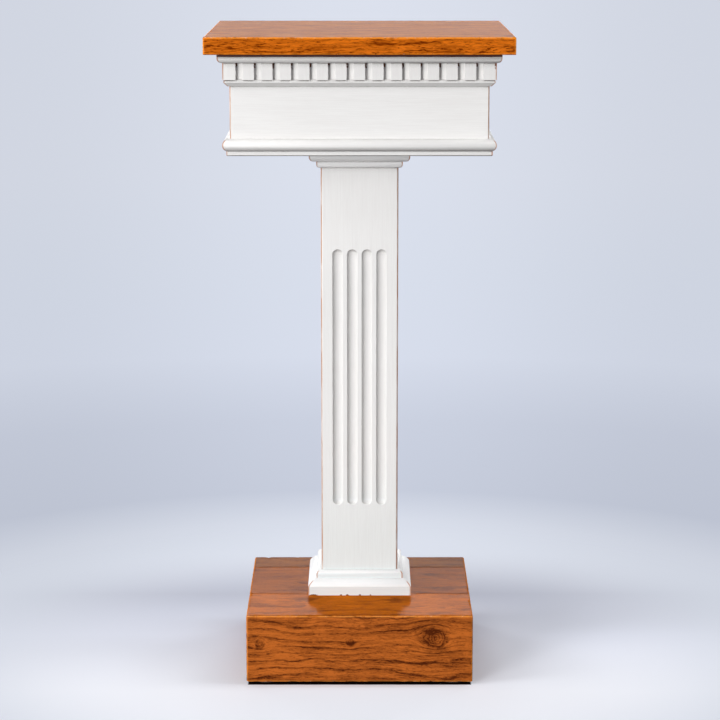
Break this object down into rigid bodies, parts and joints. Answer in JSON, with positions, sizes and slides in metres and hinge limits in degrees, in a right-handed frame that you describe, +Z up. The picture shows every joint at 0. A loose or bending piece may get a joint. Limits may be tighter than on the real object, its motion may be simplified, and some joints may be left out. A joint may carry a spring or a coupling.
{
  "type": "pedestal column stand",
  "caption": "Pedestal stand with a solid wood plinth, a white fluted square column, and a boxed head with a dentil cornice under a stained wood top.",
  "frame": {"origin": "on the floor, under the middle of the top, which is also the axis of the column and head", "axes": "+Z up along the column; the front faces -Y; +X to the right seen from the front"},
  "size_m": [0.339, 0.339, 0.736],
  "materials": {
    "stained_wood": "orange-brown stain under satin varnish, worn arrises",
    "white_paint": "brushed white satin paint on wood, grain showing through",
    "bare_wood": "bare sawn softwood",
    "zinc_steel": "zinc-plated",
    "felt": "pressed brown felt"
  },
  "bodies": {
    "root": {"bottom_panel_screws": "zinc_steel", "column_base_moulding_back": "white_paint", "column_base_moulding_front": "white_paint", "column_base_moulding_left": "white_paint", "column_base_moulding_right": "white_paint", "column_board_back": "white_paint", "column_board_front": "white_paint", "column_board_left": "white_paint", "column_board_right": "white_paint", "column_bottom_block": "bare_wood", "column_cap_moulding_back": "white_paint", "column_cap_moulding_front": "white_paint", "column_cap_moulding_left": "white_paint", "column_cap_moulding_right": "white_paint", "column_top_block": "bare_wood", "column_top_screws": "zinc_steel", "cornice_bead_back": "white_paint", "cornice_bead_front": "white_paint", "cornice_bead_left": "white_paint", "cornice_bead_right": "white_paint", "dentil_moulding_back": "white_paint", "dentil_moulding_front": "white_paint", "dentil_moulding_left": "white_paint", "dentil_moulding_right": "white_paint", "felt_pad_back_left": "felt", "felt_pad_back_right": "felt", "felt_pad_front_left": "felt", "felt_pad_front_right": "felt", "frieze_board_back": "white_paint", "frieze_board_front": "white_paint", "frieze_board_left": "white_paint", "frieze_board_right": "white_paint", "head_bottom_panel": "white_paint", "head_corner_block_back_left": "bare_wood", "head_corner_block_back_right": "bare_wood", "head_corner_block_front_left": "bare_wood", "head_corner_block_front_right": "bare_wood", "head_skirt_moulding_back": "white_paint", "head_skirt_moulding_front": "white_paint", "head_skirt_moulding_left": "white_paint", "head_skirt_moulding_right": "white_paint", "plinth_back_timber": "stained_wood", "plinth_dowels": "bare_wood", "plinth_front_timber": "stained_wood", "plinth_lag_screws": "zinc_steel", "plinth_middle_timber": "stained_wood", "plinth_washers": "zinc_steel", "top_board_back": "stained_wood", "top_board_front": "stained_wood", "top_board_middle": "stained_wood", "top_cleat_left": "bare_wood", "top_cleat_right": "bare_wood", "top_cleat_screws": "zinc_steel"}
  },
  "joints": []
}
